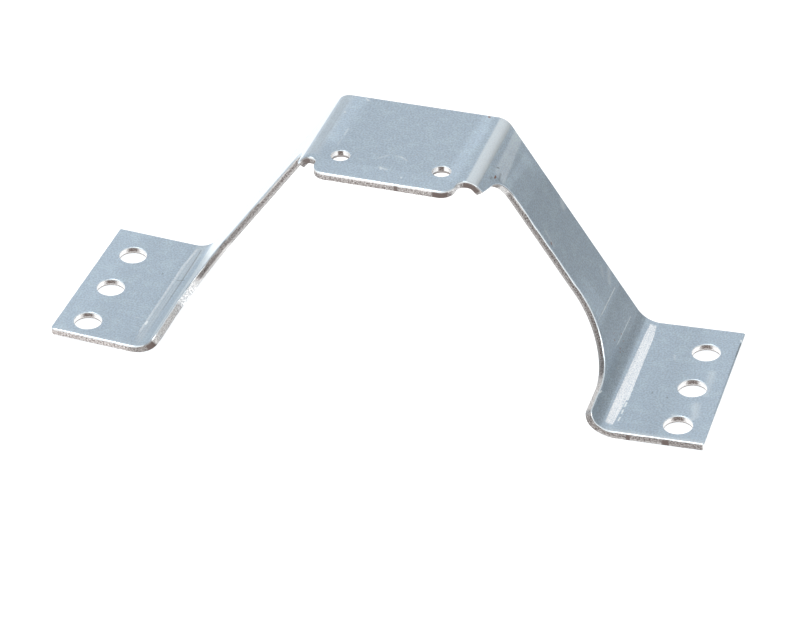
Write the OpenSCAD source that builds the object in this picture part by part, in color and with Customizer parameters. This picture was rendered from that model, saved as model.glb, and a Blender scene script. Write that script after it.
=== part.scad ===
// Fan motor bracket folded from one piece of galvanised sheet.
// It stands on its two feet, with X across them, the straight rear edge towards +Y and Z up.
// The origin is on the surface it stands on, under the middle of the feet.
// A place on the unfolded sheet is [s, d]: s runs along the top face from the middle of the
// motor plate out to one foot, and d is the distance from the rear edge.

/* [Overall size] */
// Width over the outer ends of the feet
overall_w = 166; // [150:1:190]
// Height of the motor plate's top face
plate_h = 54.7; // [42:0.1:75]
// Depth of the feet, from the rear edge to the front edge
depth = 46; // [45:0.5:60]
// Thickness of the sheet
sheet_t = 2; // [1:0.1:3]

/* [Folds] */
// Width of the flat part of the motor plate
plate_flat = 37.4; // [36:0.1:44]
// How far the motor plate sits to the right of the middle of the feet
plate_shift = 1; // [-2:0.1:2]
// Distance between the centres of the two folds at the feet
foot_fold_span = 123; // [112:0.5:130]
// Inside radius of the folds beside the motor plate
plate_fold_r = 2; // [1:0.1:4]
// Inside radius of the folds at the feet
foot_fold_r = 7; // [2:0.5:8]
// Angle by which the outer end of each foot stands off the surface
foot_tilt = 3; // [0:0.1:6]

/* [Motor plate] */
// Depth of the motor plate at its front tab
plate_depth = 35.4; // [33:0.1:44]
// Width of the front tab
tab_w = 34.8; // [32:0.1:36]
// Radius of the front tab's corners
tab_corner_r = 3.5; // [0.5:0.1:5]
// Depth of the sheet at the root of the relief beside the tab
relief_depth = 29.5; // [28.5:0.1:31]
// Radius of the relief's root
relief_r = 1.9; // [0.5:0.1:2.5]
// Distance of the shoulder's tip from the middle of the motor plate
shoulder_reach = 24.5; // [23:0.1:28]
// Depth of the sheet at the shoulder's tip
shoulder_depth = 28.2; // [26:0.1:30]

/* [Arms] */
// Width of the arms
arm_w = 17.6; // [14:0.1:22]
// Steepness of the edge that runs from the shoulder to the arm
neck_angle = 75; // [50:1:85]
// Radius where that edge meets the arm
neck_r = 7.3; // [2:0.1:9]
// Radius by which the arm widens into the foot
flare_r = 17.3; // [6:0.1:22]

/* [Feet] */
// Length of the foot along the sheet, with the fold
foot_l = 29; // [24:0.1:34]
// Radius of the foot's inner front corner
foot_corner_r = 2.9; // [0.5:0.1:6]

/* [Holes] */
// Diameter of the foot holes
foot_hole_d = 7; // [4:0.1:9]
// Number of holes in each foot
foot_holes = 3; // [1:1:3]
// Distance of the first foot hole from the rear edge
foot_hole_rear = 10; // [6:0.1:11]
// Distance of the last foot hole from the front edge
foot_hole_front = 6; // [6:0.1:11]
// Distance of the foot holes from the foot's outer end
foot_hole_inset = 7.6; // [6:0.1:12]
// Diameter of the motor holes
motor_hole_d = 4.6; // [3:0.1:6]
// Distance between the motor holes
motor_hole_span = 25; // [16:0.5:27]
// Distance of the motor holes from the rear edge
motor_hole_rear = 27; // [8:0.1:31]

/* [Hidden] */
$fn = 96;
ZINC = [0.66, 0.72, 0.77];
RIGHT = 1;
LEFT = -1;

// How far a hole's cutter runs past the sheet
PAST = 0.5;
// Steps in which the sheet follows a small arc, the wide flare and a fold
ARC_STEPS = 10;
FLARE_STEPS = 20;
FOLD_STEPS = 24;
// How much an edge that runs square to the folds leans, so that no place has two depths
LEAN = 0.04;

// Fold centres as [x, z] on the side that is being made, where x runs outwards
plate_fold_z = plate_h - sheet_t - plate_fold_r;
foot_fold_c = [foot_fold_span / 2, foot_fold_r + sheet_t];
function plate_fold_c(side) = [side * plate_shift + plate_flat / 2, plate_fold_z];

// The arm's top face touches both folds: the plate's from above and the foot's from below
outer_r = plate_fold_r + sheet_t;
radii = outer_r + foot_fold_r;
function fold_gap(side) = foot_fold_c - plate_fold_c(side);
function arm_angle(side) = atan2(-fold_gap(side).y, fold_gap(side).x) + asin(radii / norm(fold_gap(side)));
function arm_l(side) = sqrt(pow(norm(fold_gap(side)), 2) - pow(radii, 2));
foot_flat = (overall_w / 2 - foot_fold_c.x - (foot_fold_r + sheet_t) * sin(foot_tilt)) / cos(foot_tilt);

// Where the stretches of the unfolded sheet begin, as s
s_plate_fold = plate_flat / 2;
function s_arm(side) = s_plate_fold + outer_r * arm_angle(side) * PI / 180;
function s_foot_fold(side) = s_arm(side) + arm_l(side);
function s_foot(side) = s_foot_fold(side) + foot_fold_r * (arm_angle(side) + foot_tilt) * PI / 180;
function s_end(side) = s_foot(side) + foot_flat;
function s_foot_edge(side) = s_end(side) - foot_l;
function s_flare(side) = s_foot_edge(side) - flare_r;

// Where the front edge's stretches beside the motor plate begin
tab_s = tab_w / 2;
relief_s = tab_s + relief_r;
neck_fillet_r = min(neck_r, (shoulder_depth - arm_w) / (1 - cos(neck_angle)));
neck_bend_depth = arm_w + neck_fillet_r * (1 - cos(neck_angle));
neck_bend_s = shoulder_reach + (shoulder_depth - neck_bend_depth) / tan(neck_angle);
neck_end_s = neck_bend_s + neck_fillet_r * sin(neck_angle);

// Half the chord of a circle of radius r at distance x from its centre
function chord(r, x) = sqrt(max(0, r * r - x * x));

// Depth of the sheet at s, from its rear edge to its front edge
function sheet_depth(s, side) =
    let (edge = s_foot_edge(side), flare = s_flare(side))
    s < tab_s - tab_corner_r ? plate_depth :
    s < tab_s - LEAN / 2 ? plate_depth - tab_corner_r + chord(tab_corner_r, s - tab_s + tab_corner_r) :
    s < relief_s ? relief_depth + relief_r - chord(relief_r, relief_s - s) :
    s < shoulder_reach ? relief_depth
        + (shoulder_depth - relief_depth) * (s - relief_s) / (shoulder_reach - relief_s) :
    s < neck_bend_s ? shoulder_depth - (s - shoulder_reach) * tan(neck_angle) :
    s < neck_end_s ? arm_w + neck_fillet_r - chord(neck_fillet_r, neck_end_s - s) :
    s < flare ? arm_w :
    s < edge - LEAN / 2 ? arm_w + flare_r - chord(flare_r, s - flare) :
    s < edge + foot_corner_r ? depth - foot_corner_r + chord(foot_corner_r, edge + foot_corner_r - s) :
    depth;

// Places along an arc from a to b, closest together at a, where the edge is steep
function along_arc(a, b, steps) = [for (i = [0 : steps]) b + (a - b) * cos(90 * i / steps)];
// Places along a fold
function along_fold(a, b) = [for (i = [0 : FOLD_STEPS]) a + (b - a) * i / FOLD_STEPS];
function sorted(v) = len(v) < 2 ? v :
    let (mid = v[floor(len(v) / 2)])
    concat(sorted([for (x = v) if (x < mid) x]), [mid], sorted([for (x = v) if (x > mid) x]));

// Sorted places without those that repeat the one before
function spaced(v) = [for (i = [0 : len(v) - 1]) if (i == 0 || v[i] - v[i - 1] > LEAN / 2) v[i]];

// Places where the sheet has a cross-section: round every fold, along every arc and at its end
function stations(side) =
    let (edge = s_foot_edge(side))
    spaced(sorted(concat(
        [s_end(side)],
        along_fold(s_plate_fold, s_arm(side)),
        along_fold(s_foot_fold(side), s_foot(side)),
        [tab_s - LEAN],
        along_arc(tab_s, tab_s - tab_corner_r, ARC_STEPS),
        along_arc(tab_s, relief_s, ARC_STEPS),
        [shoulder_reach],
        along_arc(neck_bend_s, neck_end_s, ARC_STEPS),
        [edge - LEAN],
        along_arc(edge, s_flare(side), FLARE_STEPS),
        along_arc(edge, edge + foot_corner_r, ARC_STEPS)
    )));

// Slope of the top face at s, in degrees, falling outwards
function slope(s, side) =
    s < s_plate_fold ? 0 :
    s < s_arm(side) ? (s - s_plate_fold) / outer_r * 180 / PI :
    s < s_foot_fold(side) ? arm_angle(side) :
    s < s_foot(side) ? arm_angle(side) - (s - s_foot_fold(side)) / foot_fold_r * 180 / PI :
    -foot_tilt;

// The place at s on the folded sheet, as [x, z], at a height above its top face
function folded(s, height, side) =
    let (a = slope(s, side), up = [sin(a), cos(a)], out = [cos(a), -sin(a)])
    s < s_plate_fold ? [side * plate_shift + s, plate_h + height] :
    s < s_arm(side) ? plate_fold_c(side) + (outer_r + height) * up :
    s < s_foot_fold(side) ? plate_fold_c(side) + (outer_r + height) * up + (s - s_arm(side)) * out :
    foot_fold_c - (foot_fold_r - height) * up + max(0, s - s_foot(side)) * out;

// One side's cross-sections from the tab outwards, each as the front edge's top and bottom corner
// and the rear edge's bottom and top corner
function sections(side) = [for (s = stations(side))
    let (top = folded(s, 0, side), low = folded(s, -sheet_t, side), front = -sheet_depth(s, side))
    [[side * top.x, front, top.y], [side * low.x, front, low.y],
     [side * low.x, 0, low.y], [side * top.x, 0, top.y]]];

// The folded sheet, as one sweep of its cross-sections from the left end to the right end, with
// its rear edge at y = 0
module sheet() {
    left = sections(LEFT);
    rings = concat([for (i = [len(left) - 1 : -1 : 0]) left[i]], sections(RIGHT));
    last = 4 * (len(rings) - 1);
    walls = [for (i = [0 : 4 : last - 4]) for (k = [0 : 3])
        let (next = (k + 1) % 4)
        for (t = [[i + k, i + 4 + k, i + 4 + next], [i + k, i + 4 + next, i + next]]) t];
    ends = [[0, 1, 2, 3], [last + 3, last + 2, last + 1, last]];
    polyhedron([for (ring = rings) each ring], concat(walls, ends));
}

// A hole square through the sheet
module hole(diameter) {
    translate([0, 0, -sheet_t - PAST]) cylinder(d = diameter, h = sheet_t + 2 * PAST);
}

// The row of holes in one foot
module foot_row(side) {
    place = folded(s_end(side) - foot_hole_inset, 0, side);
    pitch = (depth - foot_hole_rear - foot_hole_front) / max(1, foot_holes - 1);
    for (i = [0 : foot_holes - 1])
        translate([place.x, -foot_hole_rear - i * pitch, place.y])
            rotate([0, -foot_tilt, 0]) hole(foot_hole_d);
}

module motor_holes() {
    for (x = [-motor_hole_span / 2, motor_hole_span / 2])
        translate([plate_shift + x, -motor_hole_rear, plate_h]) hole(motor_hole_d);
}

module bracket() {
    color(ZINC) translate([0, depth / 2, 0]) difference() {
        sheet();
        foot_row(RIGHT);
        mirror([1, 0, 0]) foot_row(LEFT);
        motor_holes();
    }
}

bracket();
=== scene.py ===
"""Looks for the fan motor bracket: one folded sheet of galvanised steel with sheared edges.

The sheet is meshed flat, as it leaves the press tool, and then folded as the CAD folds it. A
place on the flat sheet is (u, d, h) in millimetres: u runs along the top face from the middle of
the motor plate, to the left below zero, d is the distance from the rear edge, and h is the height
over the top face, so the underside is at minus the sheet's thickness.
"""

import logging
import math
from dataclasses import dataclass, field
from enum import Enum
from typing import NamedTuple

import bpy
import numpy as np
from mathutils import Matrix, Vector
from mathutils.geometry import delaunay_2d_cdt

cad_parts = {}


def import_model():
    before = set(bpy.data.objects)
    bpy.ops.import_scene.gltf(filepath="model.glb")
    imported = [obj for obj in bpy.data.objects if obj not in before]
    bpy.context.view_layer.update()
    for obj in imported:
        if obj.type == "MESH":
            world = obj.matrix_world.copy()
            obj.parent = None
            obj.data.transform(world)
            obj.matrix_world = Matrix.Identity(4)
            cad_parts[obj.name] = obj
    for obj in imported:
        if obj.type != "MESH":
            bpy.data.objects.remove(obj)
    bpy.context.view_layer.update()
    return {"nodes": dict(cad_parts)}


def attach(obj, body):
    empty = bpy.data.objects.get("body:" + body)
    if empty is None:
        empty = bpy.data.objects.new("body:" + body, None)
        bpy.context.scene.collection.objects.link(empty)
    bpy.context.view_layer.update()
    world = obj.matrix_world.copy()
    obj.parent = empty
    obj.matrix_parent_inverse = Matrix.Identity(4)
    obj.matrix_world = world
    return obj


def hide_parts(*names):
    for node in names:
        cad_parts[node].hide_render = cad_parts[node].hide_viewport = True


LOG = logging.getLogger("bracket")
MM = 0.001

Pair = tuple[float, float]
Triple = tuple[float, float, float]
Colour = tuple[float, float, float, float]
Ring = tuple[np.ndarray, np.ndarray, float]

# Two places that are closer than this, in millimetres, are one
SAME_PLACE = 1e-6
# The fewest steps round a corner, and the widest turn of one step
CORNER_STEPS = 4
CORNER_TURN = math.radians(9)
# How many places are compared with the outlines at once
BATCH = 500
# To how many digits of a millimetre the mesh's columns are told apart
COLUMN_DIGITS = 6
# The way in which d grows, in the folded bracket
FORWARD = np.array([0.0, -1.0, 0.0])


class Side(Enum):
    """A side of the bracket, with the sign of its x."""

    LEFT = -1
    RIGHT = 1


class Region(Enum):
    """A stretch of the sheet that has a material of its own, between two values of u."""

    LEFT = (-120.0, -50.0)
    MIDDLE = (-50.0, 38.0)
    RIGHT = (38.0, 120.0)

    def holds(self, start: float, stop: float) -> bool:
        """Tells whether the region has some of what lies between two values of u."""
        return max(start, stop) > self.value[0] and min(start, stop) < self.value[1]


# The sheet: its sizes, how it is folded, and its mesh


@dataclass(frozen=True)
class SheetSizes:
    """Sizes of the folded sheet in millimetres and degrees, as in the CAD."""

    overall_w: float = 166.0
    plate_h: float = 54.7
    depth: float = 46.0
    thickness: float = 2.0
    plate_flat: float = 37.4
    plate_shift: float = 1.0
    foot_fold_span: float = 123.0
    plate_fold_r: float = 2.0
    foot_fold_r: float = 7.0
    foot_tilt: float = 3.0
    plate_depth: float = 35.4
    tab_w: float = 34.8
    tab_corner_r: float = 3.5
    relief_depth: float = 29.5
    relief_r: float = 1.9
    shoulder_reach: float = 24.5
    shoulder_depth: float = 28.2
    arm_w: float = 17.6
    neck_angle: float = 75.0
    neck_r: float = 7.3
    flare_r: float = 17.3
    foot_l: float = 29.0
    foot_corner_r: float = 2.9
    foot_hole_d: float = 7.0
    foot_holes: int = 3
    foot_hole_rear: float = 10.0
    foot_hole_pitch: float = 15.0
    foot_hole_inset: float = 7.6
    motor_hole_d: float = 4.6
    motor_hole_span: float = 25.0
    motor_hole_rear: float = 27.0


@dataclass(frozen=True)
class CutSizes:
    """Sizes of a sheared edge in millimetres: it rolls over, is burnished, and then breaks.

    A wave is the number of places over which an uneven value is smoothed, and an uneven value
    stays within its limits.
    """

    roll_reach: float = 0.40
    roll_drop: float = 0.42
    roll_bend: float = 1.35
    roll_steps: int = 6
    roll_uneven: float = 0.13
    roll_wave: float = 12.0
    roll_limits: Pair = (0.6, 1.3)
    hole_roll: float = 0.12
    burnish_end: float = 0.95
    burnish_uneven: float = 0.12
    burnish_wave: float = 6.0
    burnish_limits: Pair = (0.7, 1.3)
    break_inset: float = 0.05
    break_rough: float = 0.03
    break_wave: float = 1.5
    break_widest: float = 0.8
    break_steps: int = 6
    break_gap: float = 0.05
    burr_reach: float = 0.12
    corner_r: float = 0.45
    blunt_corner_r: float = 1.0
    sharpest_mitre: float = 0.5
    step: float = 0.36
    right_foot: float = 87.0
    right_foot_drop: float = 0.7


@dataclass(frozen=True)
class GridSizes:
    """Spacing of the mesh on the faces, in millimetres and degrees."""

    flat: float = 1.7
    fold: float = 4.0
    clear: float = 0.45
    first_row: float = 0.8


class FoldedSheet:
    """Where a place on the flat sheet comes to be when the sheet is folded."""

    def __init__(self, sizes: SheetSizes) -> None:
        """Works out the folds.

        Args:
            sizes: The sizes of the sheet.
        """
        self.sizes = sizes
        self.outer_r = sizes.plate_fold_r + sizes.thickness
        self.tilt = math.radians(sizes.foot_tilt)
        self.foot_centre = np.array([sizes.foot_fold_span / 2, sizes.foot_fold_r + sizes.thickness])

    def plate_centre(self, side: Side) -> np.ndarray:
        """Returns the centre of the fold beside the motor plate as (x outwards, z)."""
        z = self.sizes.plate_h - self.sizes.thickness - self.sizes.plate_fold_r
        return np.array([side.value * self.sizes.plate_shift + self.sizes.plate_flat / 2, z])

    def arm_angle(self, side: Side) -> float:
        """Works out how steeply one arm falls.

        Args:
            side: The side of the bracket.

        Returns:
            The angle in radians.
        """
        gap = self.foot_centre - self.plate_centre(side)
        reach = self.outer_r + self.sizes.foot_fold_r
        return math.atan2(-gap[1], gap[0]) + math.asin(reach / math.hypot(*gap))

    def stretches(self, side: Side) -> tuple[float, float, float, float, float]:
        """Works out where the stretches of one side begin.

        Args:
            side: The side of the bracket.

        Returns:
            The plate fold, the arm, the foot fold, the foot and the end, as distances from the
            middle of the motor plate.
        """
        angle = self.arm_angle(side)
        gap = self.foot_centre - self.plate_centre(side)
        reach = self.outer_r + self.sizes.foot_fold_r
        outer = self.sizes.foot_fold_r + self.sizes.thickness
        fold = self.sizes.plate_flat / 2
        arm = fold + self.outer_r * angle
        foot_fold = arm + math.sqrt(gap @ gap - reach**2)
        foot = foot_fold + self.sizes.foot_fold_r * (angle + self.tilt)
        flat = self.sizes.overall_w / 2 - self.foot_centre[0] - outer * math.sin(self.tilt)
        return fold, arm, foot_fold, foot, foot + flat / math.cos(self.tilt)

    def end(self, side: Side) -> float:
        """Returns the distance of a foot's outer end from the middle of the motor plate."""
        return self.stretches(side)[4]

    def fold(self, flat: np.ndarray) -> tuple[np.ndarray, np.ndarray, np.ndarray]:
        """Folds places on the flat sheet.

        Args:
            flat: Rows of (u, d, h).

        Returns:
            The places in metres, and at each place the direction of u and of h.
        """
        place, along, up = (np.zeros_like(flat) for _ in range(3))
        for side in Side:
            chosen = flat[:, 0] < 0 if side is Side.LEFT else flat[:, 0] >= 0
            s, h = np.abs(flat[chosen, 0]), flat[chosen, 2]
            fold, arm, foot_fold, foot, _ = self.stretches(side)
            angle = self.arm_angle(side)
            turned = np.clip((s - fold) / self.outer_r, 0, angle)
            a = turned - np.clip((s - foot_fold) / self.sizes.foot_fold_r, 0, angle + self.tilt)
            rise = np.stack([np.sin(a), np.cos(a)], 1)
            out = np.stack([np.cos(a), -np.sin(a)], 1)
            top = self.plate_centre(side) + (self.outer_r + h)[:, None] * rise
            top += np.minimum(s - fold, 0)[:, None] * out
            top += np.clip(s - arm, 0, None)[:, None] * out
            low = self.foot_centre - (self.sizes.foot_fold_r - h)[:, None] * rise
            low += np.clip(s - foot, 0, None)[:, None] * out
            xz = np.where((s < foot_fold)[:, None], top, low)
            y = self.sizes.depth / 2 - flat[chosen, 1]
            sign = side.value
            place[chosen] = np.stack([sign * xz[:, 0], y, xz[:, 1]], 1)
            along[chosen] = np.stack([out[:, 0], 0 * s, sign * out[:, 1]], 1)
            up[chosen] = np.stack([sign * rise[:, 0], 0 * s, rise[:, 1]], 1)
        return place * MM, along, up


def rounded(corners: list[Triple], step: float) -> np.ndarray:
    """Rounds the corners of a closed outline.

    Args:
        corners: The corners as (u, d, radius), in order.
        step: The longest distance between two places on the outline.

    Returns:
        Places along the outline as rows of (u, d).
    """
    places: list[np.ndarray] = []
    for i, (u, d, radius) in enumerate(corners):
        here = np.array([u, d])
        back = np.array(corners[i - 1][:2]) - here
        ahead = np.array(corners[(i + 1) % len(corners)][:2]) - here
        back, ahead = back / np.hypot(*back), ahead / np.hypot(*ahead)
        if radius == 0:
            places.append(here[None])
            continue
        half = math.acos(float(np.clip(back @ ahead, -1, 1))) / 2
        middle = here + (back + ahead) / np.hypot(*(back + ahead)) * radius / math.sin(half)
        start, stop = (here + w * radius / math.tan(half) - middle for w in (back, ahead))
        turn = math.pi - 2 * half
        sign = math.copysign(1, start[0] * stop[1] - start[1] * stop[0])
        count = max(CORNER_STEPS, math.ceil(radius * turn / step), math.ceil(turn / CORNER_TURN))
        t = np.linspace(0, turn, count + 1)[:, None]
        square = np.array([-start[1], start[0]]) * sign
        places.append(middle + np.cos(t) * start + np.sin(t) * square)
    loop = np.vstack(places)
    loop = loop[np.hypot(*(loop - np.roll(loop, 1, axis=0)).T) > SAME_PLACE]
    pieces = []
    for a, b in zip(loop, np.roll(loop, -1, axis=0)):
        count = max(1, math.ceil(np.hypot(*(b - a)) / step))
        pieces.append(a + (b - a) * np.arange(count)[:, None] / count)
    return np.vstack(pieces)


class MeshPoints:
    """The mesh's points as they are gathered, with what its finish needs to know at each."""

    def __init__(self) -> None:
        """Starts with no points."""
        self.rows: list[np.ndarray] = []
        self.count = 0

    def add(self, flat: np.ndarray, lean: np.ndarray, run: np.ndarray, across: float) -> int:
        """Adds points.

        Args:
            flat: Their places on the flat sheet, as rows of (u, d, h).
            lean: How the surface leans there, as rows of (across u, across d, up).
            run: How far along an outline they are.
            across: The diameter, if they are on the edge of a hole, or 0.

        Returns:
            The number of the first one.
        """
        first = self.count
        self.rows.append(np.column_stack([flat, lean, run, np.full(len(flat), across)]))
        self.count += len(flat)
        return first

    def columns(self) -> tuple[np.ndarray, np.ndarray, np.ndarray, np.ndarray]:
        """Returns the places, the leans, the runs and the diameters of all points."""
        table = np.vstack(self.rows)
        return table[:, :3], table[:, 3:6], table[:, 6], table[:, 7]


class Bracket:
    """The bracket's mesh, with its sheared edges, and what its finish needs to know."""

    def __init__(self, sizes: SheetSizes, cut: CutSizes, grid: GridSizes, seed: int) -> None:
        """Keeps the sizes.

        Args:
            sizes: The sizes of the sheet.
            cut: The sizes of its sheared edges.
            grid: The spacing of its mesh.
            seed: The seed of the uneven edges.
        """
        self.sizes = sizes
        self.cut = cut
        self.grid = grid
        self.sheet = FoldedSheet(sizes)
        self.draw = np.random.default_rng(seed)

    def front_corners(self, side: Side) -> list[Triple]:
        """Lists the corners of one side's front edge, from the foot's outer end to the tab.

        Args:
            side: The side of the bracket.

        Returns:
            The corners as (u, d, radius).
        """
        z, sign = self.sizes, side.value
        edge = self.sheet.end(side) - z.foot_l
        slant = math.radians(z.neck_angle)
        neck = z.shoulder_reach + (z.shoulder_depth - z.arm_w) / math.tan(slant)
        outer = self.cut.blunt_corner_r if side is Side.LEFT else self.cut.corner_r
        corners = [
            (self.sheet.end(side), z.depth, outer),
            (edge, z.depth, z.foot_corner_r),
            (edge, z.arm_w, z.flare_r),
            (neck, z.arm_w, z.neck_r),
            (z.shoulder_reach, z.shoulder_depth, self.cut.corner_r),
            (z.tab_w / 2 + z.relief_r, z.relief_depth, 0.0),
            (z.tab_w / 2, z.relief_depth, z.relief_r),
            (z.tab_w / 2, z.plate_depth, z.tab_corner_r),
        ]
        return [(sign * u, d, r) for u, d, r in corners]

    def outline(self) -> np.ndarray:
        """Draws the sheet's outline, with the sheet on its left hand.

        Returns:
            Places along the outline as rows of (u, d).
        """
        rear = [(side.value * self.sheet.end(side), 0.0, self.cut.corner_r) for side in Side]
        left, right = self.front_corners(Side.LEFT), self.front_corners(Side.RIGHT)
        return rounded(rear + right + left[::-1], self.cut.step)

    def holes(self) -> list[Triple]:
        """Lists the holes.

        Returns:
            The middle and the diameter of each hole as (u, d, diameter).
        """
        z = self.sizes
        half = z.motor_hole_span / 2
        centres = [(u, z.motor_hole_rear, z.motor_hole_d) for u in (-half, half)]
        for side in Side:
            u = side.value * (self.sheet.end(side) - z.foot_hole_inset)
            for i in range(z.foot_holes):
                centres.append((u, z.foot_hole_rear + i * z.foot_hole_pitch, z.foot_hole_d))
        return centres

    def hole_loop(self, u: float, d: float, across: float) -> np.ndarray:
        """Draws the outline of a hole, with the sheet on its left hand.

        Args:
            u: Its middle across the folds.
            d: Its middle, from the rear edge.
            across: Its diameter.

        Returns:
            Places along the hole as rows of (u, d).
        """
        count = math.ceil(math.pi * across / self.cut.step / 2) * 2
        t = -2 * math.pi * np.arange(count) / count
        return np.stack([u + across / 2 * np.cos(t), d + across / 2 * np.sin(t)], 1)

    def uneven(self, count: int, wave: float) -> np.ndarray:
        """Draws a closed run of uneven values.

        Args:
            count: How many values there are.
            wave: Over how many values they are smoothed.

        Returns:
            The values, with a spread of about 1.
        """
        waves = np.fft.rfft(self.draw.standard_normal(count))
        waves *= np.exp(-((np.arange(len(waves)) * wave / count) ** 2))
        waves[0] = 0
        values = np.fft.irfft(waves, count)
        return values / values.std()

    def profile(self, loop: np.ndarray, across: float) -> list[Ring]:
        """Draws the cross-section of a sheared edge at each place along an outline.

        Args:
            loop: The outline as rows of (u, d).
            across: The diameter, if the outline is a hole's, or 0.

        Returns:
            The rings of the edge from the top face down, each as how far in from the outline it
            is, its height, and its lean from upright.
        """
        z, cut, count = self.sizes, self.cut, len(loop)
        swell = np.clip(1 + cut.roll_uneven * self.uneven(count, cut.roll_wave), *cut.roll_limits)
        flatter = (loop[:, 0] > cut.right_foot) & (across == 0)
        swell = swell * np.where(flatter, cut.right_foot_drop, 1.0)
        roll = cut.hole_roll * across if across else 1.0
        rings = []
        for i in range(cut.roll_steps + 1):
            part = i / cut.roll_steps
            turned = math.pi / 2 * i / cut.roll_steps
            inset = roll * cut.roll_reach * (1 - math.sin(turned)) * np.ones(count)
            drop = roll * cut.roll_drop * (1 - math.cos(turned)) * swell
            rings.append((inset, -drop, math.pi / 2 * part**cut.roll_bend))
        ends = 1 + cut.burnish_uneven * self.uneven(count, cut.burnish_wave)
        ends = cut.burnish_end * np.clip(ends, *cut.burnish_limits)
        rings.append((np.zeros(count), -ends, math.pi / 2))
        for i in range(1, cut.break_steps + 1):
            part = i / cut.break_steps
            bulge = math.sin(math.pi * min(part, cut.break_widest))
            rough = cut.break_rough / 2 * (1 + self.uneven(count, cut.break_wave)) * bulge
            inset = np.clip(cut.break_inset * part + rough, 0.0, cut.burr_reach)
            height = -ends - (z.thickness - cut.break_gap - ends) * part
            rings.append((inset, height, math.pi / 2))
        for reach in (cut.burr_reach, cut.roll_reach):
            rings.append((reach * np.ones(count), -z.thickness * np.ones(count), math.pi))
        return rings

    def edge_rings(self, loop: np.ndarray, across: float) -> tuple[np.ndarray, ...]:
        """Carries the cross-section of a sheared edge along an outline.

        Args:
            loop: The outline as rows of (u, d).
            across: The diameter, if the outline is a hole's, or 0.

        Returns:
            The flat places by (ring, place), how the surface leans at each as (across u,
            across d, up), and how far along the outline each is.
        """
        count = len(loop)
        ahead, back = np.roll(loop, -1, axis=0) - loop, loop - np.roll(loop, 1, axis=0)
        unit = [v / np.hypot(v[:, 0], v[:, 1])[:, None] for v in (ahead, back)]
        square = [np.stack([-v[:, 1], v[:, 0]], 1) for v in unit]
        inward = square[0] + square[1]
        inward /= np.hypot(inward[:, 0], inward[:, 1])[:, None]
        mitre = 1 / np.clip((inward * square[0]).sum(1), self.cut.sharpest_mitre, 1)
        flat, lean = [], []
        for inset, height, turned in self.profile(loop, across):
            flat.append(np.column_stack([loop + inward * (mitre * inset)[:, None], height]))
            level = math.cos(turned) * np.ones(count)
            lean.append(np.column_stack([-inward * math.sin(turned), level]))
        run = np.concatenate([[0], np.cumsum(np.hypot(ahead[:, 0], ahead[:, 1]))[:-1]])
        return np.stack(flat), np.stack(lean), np.tile(run, (len(flat), 1))

    def grid_lines(self) -> np.ndarray:
        """Spaces the mesh's columns, which are closest together in the folds.

        Returns:
            The values of u of the columns.
        """
        lines = []
        for side in Side:
            fold, arm, foot_fold, foot, end = self.sheet.stretches(side)
            turn = math.degrees(self.sheet.arm_angle(side))
            for a, b, count in (
                (0.0, fold, fold / self.grid.flat),
                (fold, arm, turn / self.grid.fold),
                (arm, foot_fold, (foot_fold - arm) / self.grid.flat),
                (foot_fold, foot, (turn + self.sizes.foot_tilt) / self.grid.fold),
                (foot, end, (end - foot) / self.grid.flat),
            ):
                lines.append(side.value * np.linspace(a, b, math.ceil(count) + 1)[1:])
        return np.unique(np.concatenate(lines + [np.zeros(1)]).round(COLUMN_DIGITS))

    def face_grid(self, loops: list[np.ndarray]) -> np.ndarray:
        """Spreads places over the sheet's face, clear of its edges.

        Args:
            loops: The outlines of the sheet and its holes.

        Returns:
            The places as rows of (u, d).
        """
        rows = np.arange(self.grid.first_row, self.sizes.depth, self.grid.flat)
        columns, rows = np.meshgrid(self.grid_lines(), rows)
        grid = np.stack([columns.ravel(), rows.ravel()], 1)
        grid = grid[self.inside(grid, loops)]
        return grid[self.distance(grid, loops) > self.cut.roll_reach + self.grid.clear]

    @staticmethod
    def inside(places: np.ndarray, loops: list[np.ndarray]) -> np.ndarray:
        """Tells which places are on the sheet.

        Args:
            places: Rows of (u, d).
            loops: The outlines of the sheet and its holes.

        Returns:
            True for each place that is inside an odd number of outlines.
        """
        odd = np.zeros(len(places), bool)
        for loop in loops:
            for a, b in zip(loop, np.roll(loop, -1, axis=0)):
                if a[1] == b[1]:
                    continue
                crossed = (a[1] > places[:, 1]) != (b[1] > places[:, 1])
                at = a[0] + (places[:, 1] - a[1]) / (b[1] - a[1]) * (b[0] - a[0])
                odd ^= crossed & (places[:, 0] < at)
        return odd

    @staticmethod
    def distance(places: np.ndarray, loops: list[np.ndarray]) -> np.ndarray:
        """Measures how far places are from the outlines.

        Args:
            places: Rows of (u, d).
            loops: The outlines of the sheet and its holes.

        Returns:
            Each place's distance from the nearest point of the outlines.
        """
        points = np.vstack(loops)
        return np.concatenate([
            np.sqrt(((part[:, None] - points[None]) ** 2).sum(2).min(1))
            for part in np.array_split(places, max(1, len(places) // BATCH))
        ])

    @staticmethod
    def walls(numbers: np.ndarray) -> list[tuple[int, ...]]:
        """Joins the rings of an edge.

        Args:
            numbers: The numbers of the points by (ring, place).

        Returns:
            Faces of four corners between each ring and the next.
        """
        ahead = np.roll(numbers, -1, axis=1)
        corners = np.stack([numbers[:-1], ahead[:-1], ahead[1:], numbers[1:]], -1)
        return [tuple(face) for face in corners.reshape(-1, 4).tolist()]

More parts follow.
